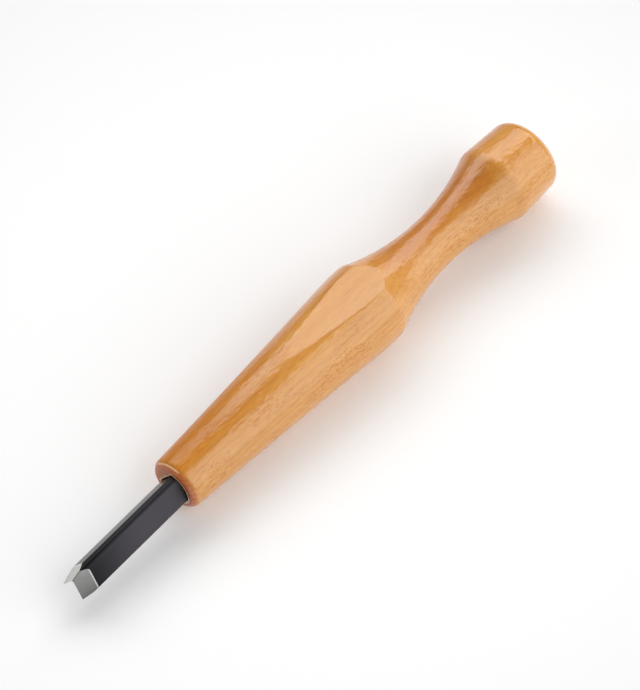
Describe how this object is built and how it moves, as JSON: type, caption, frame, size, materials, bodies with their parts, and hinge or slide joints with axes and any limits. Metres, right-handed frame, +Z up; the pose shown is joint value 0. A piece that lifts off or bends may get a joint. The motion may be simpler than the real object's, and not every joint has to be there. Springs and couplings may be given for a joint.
{
  "type": "carving parting tool",
  "caption": "Hand carving tool with a V-shaped steel blade that parts and outlines wood, let into a turned wooden handle with flats against rolling.",
  "frame": {"origin": "on the table, below the middle of the tool's length, as it lies at rest", "axes": "+X along the tool towards the butt of the handle, the blade at -X; +Z up, so the keel of the V is on top; +Y to the left seen from the blade's end towards the butt"},
  "size_m": [0.1908, 0.0254, 0.0242],
  "materials": {
    "varnished_wood": "gloss",
    "blackened_steel": "satin"
  },
  "bodies": {
    "root": {"handle": "varnished_wood", "blade": "blackened_steel"}
  },
  "joints": []
}
